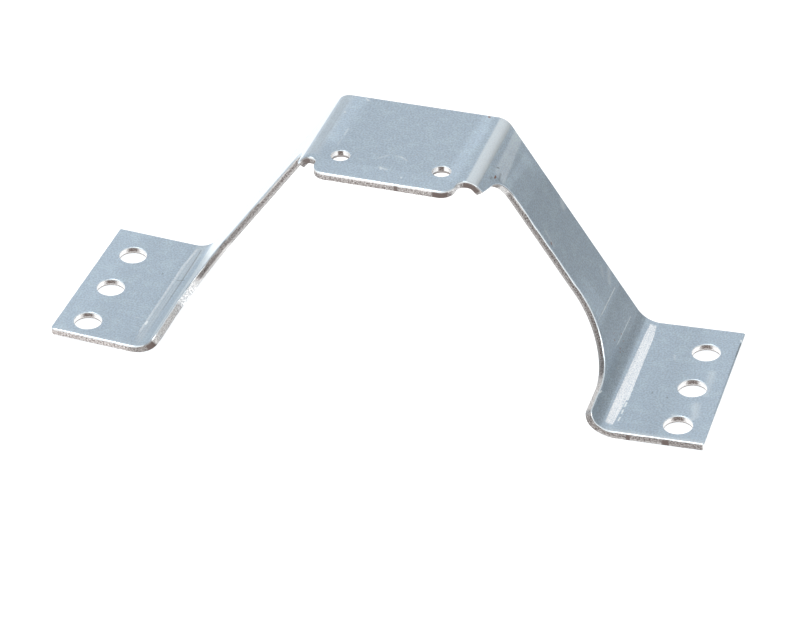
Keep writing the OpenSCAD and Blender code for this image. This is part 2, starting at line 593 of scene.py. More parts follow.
    def fill(self, rims: list[np.ndarray], grid: np.ndarray) -> np.ndarray:
        """Fills the sheet's face with triangles.

        Args:
            rims: The innermost ring of each outline.
            grid: The places on the face.

        Returns:
            Rows of three numbers, which count the rims' places and then the grid's.
        """
        places = np.vstack(rims + [grid])
        edges, first = [], 0
        for rim in rims:
            edges += [(first + i, first + (i + 1) % len(rim)) for i in range(len(rim))]
            first += len(rim)
        found = delaunay_2d_cdt([Vector(p) for p in places.tolist()], edges, [], 0, SAME_PLACE)
        _, _, faces, origins, _, _ = found
        triangles = np.array([[origins[i][0] for i in face] for face in faces])
        return triangles[self.inside(places[triangles].mean(1), rims)]

    def build(self) -> bpy.types.Object:
        """Builds the folded mesh.

        Returns:
            The object, without a finish.
        """
        holes = self.holes()
        loops = [self.outline()] + [self.hole_loop(*hole) for hole in holes]
        widths = [0.0] + [across for _, _, across in holes]
        edges = [self.edge_rings(loop, across) for loop, across in zip(loops, widths)]
        points = MeshPoints()
        faces, tops, lows = [], [], []
        for (flat, lean, run), across in zip(edges, widths):
            first = points.add(flat.reshape(-1, 3), lean.reshape(-1, 3), run.ravel(), across)
            numbers = first + np.arange(run.size).reshape(run.shape)
            faces += self.walls(numbers)
            tops.append(numbers[0])
            lows.append(numbers[-1])
        grid = self.face_grid(loops)
        triangles = self.fill([flat[0, :, :2] for flat, _, _ in edges], grid)
        none = np.zeros(len(grid))
        for rims, height, up in ((tops, 0.0, 1), (lows, -self.sizes.thickness, -1)):
            level = np.column_stack([grid, none + height])
            first = points.add(level, np.column_stack([none, none, none + up]), none, 0.0)
            numbers = np.concatenate(rims + [first + np.arange(len(grid))])
            faces += [tuple(face) for face in numbers[triangles][:, ::-up].tolist()]
        return self.dressed_mesh(points, faces)

    def dressed_mesh(self, points: MeshPoints, faces: list[tuple[int, ...]]) -> bpy.types.Object:
        """Folds the mesh and writes on it what its finish reads.

        Args:
            points: The mesh's points.
            faces: The points' numbers at each face's corners.

        Returns:
            The object.
        """
        flat, lean, run, bore = points.columns()
        place, along, up = self.sheet.fold(flat)
        normal = along * lean[:, :1] + FORWARD * lean[:, 1:2] + up * lean[:, 2:]
        mesh = bpy.data.meshes.new("folded_sheet")
        mesh.from_pydata(place.tolist(), [], faces)
        mesh.shade_smooth()
        mesh.normals_split_custom_set_from_vertices(normal.tolist())
        self.note(mesh, "flat", flat)
        self.note(mesh, "cut", 1 - np.abs(lean[:, 2]))
        self.note(mesh, "run", run)
        self.note(mesh, "bore", bore)
        middles = [sum(flat[i, 0] for i in face) / len(face) for face in faces]
        ends = [region.value[1] for region in Region][:-1]
        chosen = np.searchsorted(ends, middles).astype(np.int32)
        mesh.polygons.foreach_set("material_index", chosen)
        return bpy.data.objects.new("folded_sheet", mesh)

    @staticmethod
    def note(mesh: bpy.types.Mesh, name: str, values: np.ndarray) -> None:
        """Writes a value at each point.

        Args:
            mesh: The mesh.
            name: The name of the attribute.
            values: One number or one vector for each point.
        """
        vector = values.ndim == 2
        attribute = mesh.attributes.new(name, "FLOAT_VECTOR" if vector else "FLOAT", "POINT")
        key = "vector" if vector else "value"
        attribute.data.foreach_set(key, values.astype(np.float32).ravel())


# The finish: its nodes, its blemishes, its painted light and shade, and its materials

Socket = bpy.types.NodeSocket
Value = Socket | float | tuple[float, ...]
Inputs = dict[str | int, Value]

# The kinds of input of a node group
FLOAT = "NodeSocketFloat"
VECTOR = "NodeSocketVector"

WHITE = (1.0, 1.0, 1.0, 1.0)
# The least that the square of a mark's length is taken for
SHORTEST = 1e-4
# The value that noise lies about
NOISE_MIDDLE = 0.5


class Step(NamedTuple):
    """A smooth step: the two values it runs between, and what it puts out at each."""

    low: float
    high: float
    to_low: float = 0.0
    to_high: float = 1.0


class Grain(NamedTuple):
    """Noise that is spread over 0 to 1, from the limits low and high."""

    scale: float
    detail: float
    low: float
    high: float
    stretch: Triple | None = None


class Graph:
    """Adds nodes to one tree and links them."""

    def __init__(self, tree: bpy.types.NodeTree) -> None:
        """Keeps the tree.

        Args:
            tree: The tree of a material, a world or a group.
        """
        self.tree = tree

    def put(self, value: Value, socket: Socket) -> None:
        """Links a socket to another, or sets its value.

        Args:
            value: The socket that it is linked to, or its value.
            socket: The socket.
        """
        if isinstance(value, bpy.types.NodeSocket):
            self.tree.links.new(value, socket)
        else:
            socket.default_value = value

    def add(self, kind: str, inputs: Inputs | None = None, **settings: object) -> bpy.types.Node:
        """Adds a node.

        Args:
            kind: The node's type.
            inputs: What goes into its sockets.
            settings: Its other settings.

        Returns:
            The node.
        """
        node = self.tree.nodes.new(kind)
        for name, value in settings.items():
            setattr(node, name, value)
        for name, value in (inputs or {}).items():
            self.put(value, node.inputs[name])
        return node

    def math(self, operation: str, *values: Value, clamp: bool = False) -> Socket:
        """Adds a sum on numbers and returns its result."""
        inputs = dict(enumerate(values))
        return self.add("ShaderNodeMath", inputs, operation=operation, use_clamp=clamp).outputs[0]

    def plus(self, a: Value, b: Value) -> Socket:
        """Adds the sum of two numbers and returns it."""
        return self.math("ADD", a, b)

    def less(self, a: Value, b: Value) -> Socket:
        """Adds the first number less the second and returns it."""
        return self.math("SUBTRACT", a, b)

    def times(self, a: Value, b: Value, clamp: bool = False) -> Socket:
        """Adds the product of two numbers and returns it."""
        return self.math("MULTIPLY", a, b, clamp=clamp)

    def times_plus(self, a: Value, b: Value, c: Value, clamp: bool = False) -> Socket:
        """Adds the product of two numbers plus a third and returns it."""
        return self.math("MULTIPLY_ADD", a, b, c, clamp=clamp)

    def most(self, a: Value, b: Value) -> Socket:
        """Adds the larger of two numbers and returns it."""
        return self.math("MAXIMUM", a, b)

    def vector(self, operation: str, *values: Value, out: int = 0) -> Socket:
        """Adds a sum on vectors and returns its result."""
        inputs = dict(enumerate(values))
        return self.add("ShaderNodeVectorMath", inputs, operation=operation).outputs[out]

    def scaled(self, vector: Value, factor: Value) -> Socket:
        """Adds a vector times a number and returns it."""
        inputs = {0: vector, "Scale": factor}
        return self.add("ShaderNodeVectorMath", inputs, operation="SCALE").outputs[0]

    def ramp(self, value: Value, low: Value, high: Value, a: Value = 0.0, b: Value = 1.0) -> Socket:
        """Adds a smooth step.

        Args:
            value: What is stepped.
            low: Where the step begins.
            high: Where it ends.
            a: What it puts out before it.
            b: What it puts out after it.

        Returns:
            The result.
        """
        inputs = {"Value": value, "From Min": low, "From Max": high, "To Min": a, "To Max": b}
        node = self.add("ShaderNodeMapRange", inputs, interpolation_type="SMOOTHSTEP")
        return node.outputs["Result"]

    def blend(self, factor: Value, a: Value, b: Value, how: str = "MIX") -> Socket:
        """Adds a mix of two colours.

        Args:
            factor: How much of the second there is.
            a: The first colour.
            b: The second colour.
            how: How they are mixed.

        Returns:
            The result.
        """
        node = self.add("ShaderNodeMix", data_type="RGBA", blend_type=how)
        for name, value in (("Factor_Float", factor), ("A_Color", a), ("B_Color", b)):
            self.put(value, next(s for s in node.inputs if s.identifier == name))
        return next(s for s in node.outputs if s.identifier == "Result_Color")

    def group(self, tree: bpy.types.NodeTree, inputs: Inputs) -> Socket:
        """Places a group and returns its result."""
        return self.add("ShaderNodeGroup", inputs, node_tree=tree).outputs[0]


class GroupMaker:
    """A node group as it is made, with the sockets of its inputs and of its one output."""

    def __init__(self, name: str, inputs: dict[str, Value], output: str) -> None:
        """Starts the group.

        Args:
            name: The group's name.
            inputs: The usual value of each input, a number or a vector.
            output: The name of its one output, a number.
        """
        tree = bpy.data.node_groups.new(name, "ShaderNodeTree")
        for label, usual in inputs.items():
            kind = VECTOR if isinstance(usual, tuple) else FLOAT
            socket = tree.interface.new_socket(label, in_out="INPUT", socket_type=kind)
            socket.default_value = usual
        tree.interface.new_socket(output, in_out="OUTPUT", socket_type=FLOAT)
        entry = tree.nodes.new("NodeGroupInput")
        self.result = tree.nodes.new("NodeGroupOutput").inputs[0]
        self.given = {socket.name: socket for socket in entry.outputs if socket.name}
        self.graph = Graph(tree)

    def finish(self, value: Socket) -> bpy.types.NodeTree:
        """Sends a value to the output and returns the group."""
        self.graph.put(value, self.result)
        return self.graph.tree


def mark_group() -> bpy.types.NodeTree:
    """Makes the group for a mark, which is 1 near the line between two places.

    Returns:
        The group.
    """
    origin, beside = (0.0, 0.0, 0.0), (1.0, 0.0, 0.0)
    inputs = {"Place": origin, "From": origin, "To": beside, "Width": 0.3, "Softness": 0.5}
    maker = GroupMaker("mark", inputs, "Mask")
    graph, given = maker.graph, maker.given
    line = graph.vector("SUBTRACT", given["To"], given["From"])
    reach = graph.vector("SUBTRACT", given["Place"], given["From"])
    size = graph.most(graph.vector("DOT_PRODUCT", line, line, out=1), SHORTEST)
    ahead = graph.vector("DOT_PRODUCT", reach, line, out=1)
    part = graph.math("DIVIDE", ahead, size, clamp=True)
    away = graph.vector("SUBTRACT", reach, graph.scaled(line, part))
    away = graph.vector("LENGTH", away, out=1)
    soft = graph.times(given["Width"], given["Softness"])
    low = graph.less(given["Width"], soft)
    high = graph.plus(given["Width"], soft)
    return maker.finish(graph.ramp(away, low, high, 1.0, 0.0))


def band_group() -> bpy.types.NodeTree:
    """Makes the group for a band, which is 1 between two values and has two soft edges.

    Returns:
        The group.
    """
    inputs = {"Along": 0.0, "From": 0.0, "To": 1.0, "Rise": 0.2, "Fall": 0.2}
    maker = GroupMaker("band", inputs, "Mask")
    graph, given = maker.graph, maker.given
    edges = []
    for end, soft, levels in (("From", "Rise", (0.0, 1.0)), ("To", "Fall", (1.0, 0.0))):
        low = graph.less(given[end], given[soft])
        high = graph.plus(given[end], given[soft])
        edges.append(graph.ramp(given["Along"], low, high, *levels))
    return maker.finish(graph.times(*edges))


def grain_group() -> bpy.types.NodeTree:
    """Makes the group for grain: noise that is spread over 0 to 1.

    Returns:
        The group.
    """
    inputs = {"Place": (0.0, 0.0, 0.0), "Scale": 1.0, "Detail": 2.0, "Low": 0.3, "High": 0.7}
    maker = GroupMaker("grain", inputs, "Grain")
    graph, given = maker.graph, maker.given
    inputs = {"Vector": given["Place"], "Scale": given["Scale"], "Detail": given["Detail"]}
    noise = graph.add("ShaderNodeTexNoise", inputs).outputs[0]
    return maker.finish(graph.ramp(noise, given["Low"], given["High"]))


@dataclass(frozen=True)
class Groups:
    """The node groups that the materials share."""

    mark: bpy.types.NodeTree = field(default_factory=mark_group)
    band: bpy.types.NodeTree = field(default_factory=band_group)
    grain: bpy.types.NodeTree = field(default_factory=grain_group)


@dataclass(frozen=True)
class Mark:
    """A line on the top face, between two places in flat millimetres: scratches, smudges and
    specks, and painted highlights and shade lines.
    """

    start: Pair
    stop: Pair
    width: float
    softness: float
    strength: float


@dataclass(frozen=True)
class Band:
    """A stretch across the sheet that is lighter or darker, or scuffed, by its strength.

    It lies between two values of u, which may be others at its front end than at its rear end.
    Its span is in d.
    """

    rear: Pair
    strength: float
    soft: Pair
    span: Pair = (-1.0, 47.0)
    ragged: float = 0.1
    fade: float = 0.4
    front: Pair | None = None


def lines(*rows: tuple[float, ...]) -> tuple[Mark, ...]:
    """Makes marks.

    Args:
        rows: One row for each mark, as (u, d) twice, then the width, softness and strength.

    Returns:
        The marks.
    """
    return tuple(Mark(row[:2], row[2:4], *row[4:]) for row in rows)


@dataclass(frozen=True)
class BlemishesAndShading:
    """The marks that use and handling have left, and painted highlights and shade."""

    # Pale scratches and smudges; those along the folds at u 87 and -88 and at the right foot's rear
    # corner are painted highlights
    pale: tuple[Mark, ...] = lines(
        (71.3, 3.6, 70.95, 15.6, 0.13, 0.9, 0.75),
        (70.9, 15.6, 70.7, 19.4, 0.1, 0.9, 0.35),
        (79.4, 5.2, 79.05, 17.8, 0.1, 0.9, 0.6),
        (45.2, 15.2, 49.4, 15.9, 0.35, 0.9, 0.3),
        (45.6, 0.8, 46.6, 2.0, 0.9, 0.9, 0.4),
        (67.2, 0.9, 69.0, 4.2, 0.7, 0.9, 0.3),
        (64.8, 3.2, 66.4, 5.0, 0.5, 0.9, 0.2),
        (4.2, 32.2, 4.3, 32.4, 0.16, 0.5, 0.8),
        (-1.9, 29.3, -1.5, 30.1, 0.28, 0.9, 0.5),
        (-1.3, 29.6, -0.2, 29.9, 0.34, 0.9, 0.4),
        (108.4, 3.3, 108.7, 3.9, 0.24, 0.5, 0.9),
        (-88.0, 5.0, -88.3, 42.0, 0.1, 0.9, 0.3),
        (-87.2, 6.0, -87.7, 44.0, 0.09, 0.9, 0.28),
        (-86.7, 20.0, -87.0, 45.0, 0.11, 0.9, 0.25),
        (-3.5, 25.7, -1.6, 23.9, 0.28, 0.9, 0.25),
        (0.2, 23.5, 1.7, 23.8, 0.28, 0.9, 0.2),
        (1.7, 23.8, 3.2, 24.8, 0.24, 0.9, 0.35),
        (-14.5, 1.0, -13.9, 1.6, 0.26, 0.9, 0.6),
        (-17.7, 8.1, -17.7, 8.3, 0.22, 0.6, 0.6),
        (-14.5, 15.2, -14.5, 18.0, 0.16, 0.9, 0.4),
        (-14.6, 18.4, -14.6, 23.0, 0.14, 0.9, 0.2),
        (94.0, 12.9, 94.4, 14.6, 0.25, 0.9, 0.3),
        (103.6, 31.5, 104.4, 36.0, 0.9, 0.9, 0.3),
        (99.0, 36.6, 104.2, 37.2, 0.34, 0.9, 0.35),
        (104.5, 18.0, 104.8, 27.0, 0.8, 0.9, 0.24),
        (-90.9, 34.5, -91.6, 34.9, 0.12, 0.8, 0.5),
        (-88.3, 35.6, -88.3, 36.5, 0.32, 0.6, 0.9),
        (80.3, 35.6, 80.0, 36.6, 0.2, 0.6, 0.8),
        (87.4, 28.6, 87.35, 29.6, 0.14, 0.6, 0.9),
        (87.3, 31.0, 87.3, 33.0, 0.2, 0.6, 1.0),
        (87.3, 34.2, 87.25, 35.8, 0.2, 0.6, 1.0),
        (87.2, 37.2, 87.2, 38.6, 0.18, 0.6, 0.9),
        (87.2, 40.2, 87.1, 41.6, 0.18, 0.6, 0.9),
    )
    rust: tuple[Mark, ...] = lines(
        (78.9, 13.4, 78.9, 13.5, 0.16, 0.5, 0.75),
        (80.3, 14.6, 80.4, 14.6, 0.16, 0.5, 0.7),
        (76.8, 16.0, 76.8, 16.1, 0.14, 0.5, 0.6),
        (77.7, 17.7, 77.8, 17.7, 0.18, 0.5, 0.8),
        (80.35, 17.65, 80.4, 17.7, 0.18, 0.5, 0.8),
        (81.5, 17.4, 81.5, 17.5, 0.14, 0.5, 0.6),
        (80.8, 18.6, 80.8, 18.7, 0.17, 0.5, 0.75),
        (48.2, 16.1, 48.4, 16.4, 0.24, 0.7, 0.8),
        (16.4, 0.7, 16.6, 1.0, 0.26, 0.7, 0.8),
        (25.4, 19.7, 25.35, 20.3, 0.26, 0.6, 1.0),
    )
    # Dark specks and scratches, and painted shade: lines along the left foot's fold at u -86, the
    # plate's left fold at u -18.6 and the right foot's end at u 108.6
    dark: tuple[Mark, ...] = lines(
        (24.5, 16.9, 25.1, 16.3, 0.16, 0.9, 0.6),
        (26.3, 17.2, 26.6, 19.4, 0.3, 0.9, 0.4),
        (24.6, 21.3, 24.4, 22.0, 0.3, 0.9, 0.4),
        (92.2, 28.6, 92.3, 29.2, 0.12, 0.8, 0.6),
        (96.2, 29.9, 96.3, 30.3, 0.14, 0.8, 0.7),
        (-92.2, 15.0, -92.3, 15.3, 0.14, 0.8, 0.7),
        (-85.4, 16.9, -87.6, 16.8, 0.13, 0.8, 0.6),
        (-86.4, 2.6, -86.1, 16.0, 0.13, 0.9, 0.45),
        (-86.1, 16.0, -86.2, 30.0, 0.12, 0.9, 0.35),
        (-18.6, 4.0, -18.6, 26.0, 0.2, 0.9, 0.1),
        (108.62, 4.6, 108.6, 10.0, 0.17, 0.7, 0.85),
        (108.6, 10.0, 108.6, 18.0, 0.16, 0.7, 0.5),
        (108.6, 18.0, 108.6, 34.0, 0.15, 0.7, 0.3),
    )
    # Painted light and shade on the top face: lighter folds, edges and feet, and a darker right arm
    # and darker creases
    light_shade_tones: tuple[Band, ...] = (
        Band((24.1, 27.0), 0.17, (0.5, 0.4), (-1.0, 18.8), 0.15, 1.0, front=(24.5, 28.6)),
        Band((22.5, 36.0), 0.1, (1.0, 3.0), (-1.0, 4.2), 0.1, 1.2),
        Band((16.3, 18.0), 0.07, (0.5, 0.4), (5.5, 14.5), 0.1, 1.5),
        Band((15.0, 17.8), 0.14, (0.9, 0.9), (-1.0, 30.0), 0.5, front=(13.8, 16.8)),
        Band((-18.4, -14.2), 0.15, (0.4, 1.6), (-4.0, 22.5), 0.4, 3.0, front=(-18.2, -14.8)),
        Band((21.0, 22.3), 0.3, (0.3, 0.2), (-1.0, 31.0), front=(21.0, 22.1)),
        Band((22.4, 36.0), 0.12, (0.3, 8.0), (-1.0, 31.0), 0.0),
        Band((29.6, 32.4), 0.14, (0.4, 0.5), (2.0, 18.0), 0.3, front=(28.6, 30.6)),
        Band((62.0, 70.6), 0.12, (3.0, 0.8), (12.0, 18.0)),
        Band((72.3, 80.6), -0.17, (0.9, 0.8)),
        Band((22.4, 25.5), 0.12, (0.3, 0.8), (-1.0, 31.0), 0.0),
        Band((100.0, 112.0), 0.05, (2.0, 1.0), ragged=0.0),
        Band((-120.0, -90.0), 0.05, (1.0, 1.0), ragged=0.0),
        Band((75.5, 80.3), 0.08, (1.5, 0.8), (17.0, 47.0), 0.1, 3.0),
        Band((80.2, 83.7), -0.18, (1.2, 0.2)),
        Band((93.0, 98.0), -0.03, (1.5, 1.5), ragged=0.0),
        Band((-16.0, 16.0), 0.06, (1.0, 1.0), (29.5, 35.4), 0.0),
        Band((-117.0, -103.0), 0.09, (0.3, 3.0), ragged=0.0),
        Band((-86.5, -86.0), -0.14, (0.12, 0.12), (3.0, 25.0)),
        Band((-85.8, -85.3), 0.08, (0.2, 0.2), (5.0, 44.0)),
    )
    # Wear and painted highlights: the plate's folds, the left arm's lower part and strips along the
    # front edges are painted paler, and the left foot's fold has wear
    wear_and_highlights: tuple[Band, ...] = (
        Band((-85.0, -70.0), 0.12, (1.5, 1.5), (18.0, 47.0), 0.0, 3.0),
        Band((-21.0, -17.8), 0.26, (0.4, 1.0), (-1.0, 28.0), 0.2),
        Band((-16.5, 16.5), 0.35, (1.0, 1.0), (35.0, 47.0), 0.0, 0.7),
        Band((86.0, 110.0), 0.62, (2.0, 1.0), (45.25, 47.0), 0.0, 0.8),
        Band((-108.0, -86.0), 0.25, (1.0, 2.0), (45.2, 47.0), 0.0, 0.7),
        Band((19.2, 22.6), 0.68, (0.35, 0.45), (-1.0, 31.0), front=(19.2, 22.2)),
        Band((-88.3, -85.4), 0.26, (0.2, 0.3), (-1.0, 14.0), 0.12, 2.0),
        Band((-88.5, -86.2), 0.18, (0.2, 0.5), (14.0, 44.0), 0.12, 2.0),
    )
    # Scuffs along the folds, partly painted highlight: the bright band on the right foot's fold
    scuffs_and_highlights: tuple[Band, ...] = (
        Band((20.3, 22.2), 0.13, (0.5, 0.4), (-1.0, 31.0)),
        Band((24.0, 27.1), 0.3, (0.5, 0.5), (-1.0, 18.8), 0.15, 1.0, front=(24.4, 28.6)),
        Band((85.2, 86.9), 1.0, (0.12, 0.06), (1.8, 8.0), 0.14, front=(84.95, 87.3)),
        Band((84.98, 87.3), 1.0, (0.12, 0.06), (8.0, 31.0), 0.14, front=(84.45, 87.4)),
        Band((84.45, 87.2), 1.0, (0.12, 0.1), (31.0, 43.6), 0.14, front=(84.3, 86.2)),
        Band((-88.0, -87.3), 0.45, (0.08, 0.2), (2.0, 9.0), 0.12, front=(-88.7, -88.1)),
        Band((-88.75, -88.2), 0.5, (0.06, 0.12), (9.0, 40.0), 0.16, front=(-88.8, -88.4)),
    )
    # Painted light and shade on the cut faces: lighter on the tab, the left foot, the left flare
    # and the right foot's end, darker on the right arm
    cut_light_and_shade: tuple[Band, ...] = (
        Band((-17.4, 17.4), 0.3, (0.5, 0.5), (20.0, 47.0)),
        Band((-120.0, -89.0), 0.7, (0.5, 1.5), (20.0, 47.0)),
        Band((-81.6, -76.3), 0.75, (0.4, 0.6), (20.0, 31.6), 0.0, 1.0),
        Band((28.0, 78.0), -0.18, (2.0, 3.0), (10.0, 30.0), 0.2),
        Band((108.5, 112.0), 0.4, (0.1, 0.3)),
    )
    # Painted highlights on the cut faces, in the colour of bright sheared steel
    cut_highlights: tuple[Band, ...] = (
        Band((-82.0, -76.9), 1.0, (0.3, 1.0), (19.6, 31.2), 0.2, 0.9),
        Band((-82.4, -80.3), 0.88, (0.3, 0.3), (31.6, 45.6), 0.05),
        Band((17.0, 17.9), 0.65, (0.3, 0.2), (29.0, 33.5), 0.05),
        Band((28.4, 31.4), 0.7, (0.5, 0.6), (17.0, 20.0)),
        Band((79.0, 80.8), 0.7, (0.5, 0.3), (30.0, 44.6), 0.1, 2.6),
        Band((108.5, 112.0), 0.85, (0.1, 0.3)),
    )
    cut_low: tuple[Band, ...] = (
        Band((-77.0, -66.0), 0.62, (1.0, 1.5), (16.0, 30.0)),
        Band((-67.0, -30.0), 0.25, (1.5, 1.5), (16.0, 30.0)),
        Band((30.0, 79.4), 0.25, (1.0, 0.6), (16.0, 30.0)),
        Band((84.0, 101.0), 0.2, (0.6, 1.0), (40.0, 47.0)),
    )
    # Painted shade on the rolled edges of the left arm, the neck and some corners
    roll_shade: tuple[Band, ...] = (
        Band((-85.0, -82.3), 0.9, (0.3, 0.3), (43.0, 47.0)),
        Band((-79.0, -66.0), 0.75, (0.6, 1.0), (16.0, 27.0)),
        Band((-68.0, -31.0), 0.6, (1.5, 1.5), (16.0, 19.0)),
        Band((-23.4, -20.0), 0.9, (0.3, 0.4), (27.5, 30.0)),
        Band((22.3, 24.3), 0.7, (0.4, 0.2), (27.5, 30.0)),
        Band((24.0, 32.6), 0.9, (0.15, 0.5), (17.0, 28.2)),
    )
    smuts: tuple[Band, ...] = (
        Band((-84.6, -82.5), 1.0, (0.25, 0.15), (40.0, 47.0), 0.03),
        Band((-22.8, -19.8), 0.85, (0.4, 0.3), (27.0, 31.0), 0.15),
        Band((3.4, 4.3), 0.9, (0.12, 0.12), (30.0, 47.0), 0.05),
        Band((12.7, 16.3), 1.0, (0.25, 0.2), (30.0, 47.0)),
        Band((18.6, 23.8), 0.95, (0.2, 0.25), (27.0, 31.0)),
        Band((24.3, 28.2), 0.45, (0.2, 0.5), (18.0, 28.0)),
        Band((90.0, 91.0), 0.95, (0.15, 0.15), (40.0, 47.0), 0.04),
        Band((98.7, 100.4), 1.0, (0.2, 0.2), (40.0, 47.0), 0.06),
    )


class RegionLook(NamedTuple):
    """What is particular to one region.

    Its hole walls that face its first direction get painted shade, its cut faces have a share of
    burnished steel, and its rim's painted highlight may be weaker on one side of a value of u.
    """

    shaded_aim: Triple
    burnished: float
    rim_step: Step | None = None


REGION_LOOKS = {
    Region.LEFT: RegionLook((0.366, -0.93, 0.0), 0.05, Step(-109.9, -109.3, 0.1, 1.0)),
    Region.MIDDLE: RegionLook((0.317, -0.948, 0.0), 0.5),
    Region.RIGHT: RegionLook((0.199, -0.98, 0.0), 0.0, Step(108.2, 108.45, 1.0, 0.4)),
}


@dataclass(frozen=True)
class ZincLook:
    """Colours of the sheet and its sheared edges, and where one turns into another.

    A step's values are millimetres of height where it is about depth in a cut, and a share says
    how much of something there is.
    """

    coat: Colour = (0.50, 0.603, 0.703, 1.0)
    coat_pale: Colour = (0.535, 0.647, 0.740, 1.0)
    # Pale zinc: scratches, wear, and painted highlights and sheen
    pale: Colour = (0.87, 0.93, 0.955, 1.0)
    # White of the scuffs, partly a painted highlight
    scuff_highlight_white: Colour = (0.93, 0.95, 0.97, 1.0)
    speck: Colour = (0.66, 0.64, 0.63, 1.0)
    # Dark specks, and painted shade lines
    soot_and_shade: Colour = (0.20, 0.22, 0.23, 1.0)
    rust: Colour = (0.36, 0.20, 0.15, 1.0)
    sheared: Colour = (0.95, 0.94, 0.93, 1.0)
    torn: Colour = (0.34, 0.32, 0.31, 1.0)
    torn_deep: Colour = (0.11, 0.09, 0.085, 1.0)
    smut: Colour = (0.145, 0.116, 0.107, 1.0)
    # Painted shade on rolled edges
    roll_shade_grey: Colour = (0.24, 0.24, 0.245, 1.0)
    # Painted shade on the hole walls
    shaded_bore: Colour = (0.165, 0.136, 0.126, 1.0)

    fine_grain: Grain = Grain(2.2, 3.0, 0.32, 0.68)
    cloud_grain: Grain = Grain(0.32, 5.0, 0.44, 0.66)
    freckle_grain: Grain = Grain(2.4, 1.0, 0.61, 0.70)
    scrape_grain: Grain = Grain(1.0, 2.0, 0.38, 0.60, (5.0, 1.8, 1.0))
    streak_grain: Grain = Grain(1.0, 2.0, 0.40, 0.58, (3.4, 0.10, 1.0))
    tooth_grain: Grain = Grain(2.4, 4.0, 0.34, 0.62)
    spark_grain: Grain = Grain(3.4, 1.0, 0.56, 0.70)
    wander_scale: float = 1.6
    wander_detail: float = 4.0
    wander_rough: float = 0.7
    shake_scale: float = 2.0
    shake_detail: float = 2.0
    shake_reach: float = 0.3
    ragged_reach: float = 4.0

    top_step: Step = Step(-0.9, -0.6)
    # How the wear and painted highlights break up
    wear_highlight_step: Step = Step(0.0, 1.0, 0.85, 1.05)
    streaked_step: Step = Step(0.0, 1.0, 0.26, 0.86)
    streak_share: float = 0.28
    fine_step: Step = Step(0.0, 1.0, 0.88, 1.12)
    speck_share: float = 0.35
    # Painted sheen: the zinc is painted paler where it is seen at a grazing angle
    sheen_blend: float = 0.5
    sheen_step: Step = Step(0.76, 0.87, 0.0, 0.85)
    # Painted highlight on the rolled edges, then how far painted shade reaches on them
    rim_step: Step = Step(0.05, 0.4, 0.0, 0.8)
    roll_step: Step = Step(0.10, 0.50)

    wall_step: Step = Step(0.93, 0.999)
    shear_wander: float = 0.5
    shear_step: Step = Step(-0.78, -0.45)
    spark_share: float = 0.35
    fleck_step: Step = Step(0.0, 1.0, 0.58, 1.0)
    fleck_share: float = 0.3
    low_step: Step = Step(-1.25, -1.6)
    smut_step: Step = Step(0.0, 1.0, 1.0, 0.7)

    bored_least: float = 0.5
    # The painted shade on the hole walls: a dark core on the walls that face the region's given
    # direction, darker sides and a dark line at the foot
    small_step: Step = Step(7.0, 4.6)
    facing_wander: float = 0.10
    core_start: Step = Step(0.0, 1.0, 0.84, 0.93)
    core_end: float = 0.985
    side_start: Step = Step(0.0, 1.0, 0.74, 0.93)
    side_end: float = 0.97
    side_share: float = 0.75
    side_tooth: Step = Step(0.2, 0.8, 1.0, 0.3)
    deep_step: Step = Step(-1.70, -1.35)
    fading_step: Step = Step(-0.6, -1.1, 1.0, 0.55)
    lip_small: float = -0.25
    lip_wander: float = 0.25
    lip_step: Step = Step(-1.76, -1.50, 0.85, 0.0)
    torn_spark: Step = Step(0.0, 1.0, 1.0, 0.6)

    rough_step: Step = Step(0.0, 1.0, 0.36, 0.45)
    wall_rough: float = -0.06
    fine_relief: float = 0.35
    cloud_relief: float = 0.2
    pale_relief: float = -0.5
    tooth_relief: float = 3.0
    bump_strength: float = 0.5
    bump_mm: float = 0.02
    ring_step: Step = Step(0.03, 0.3)
    pale_bright: float = 0.5
    white_step: Step = Step(0.80, 1.0, 0.0, 0.7)
    bright_metal: float = -0.85


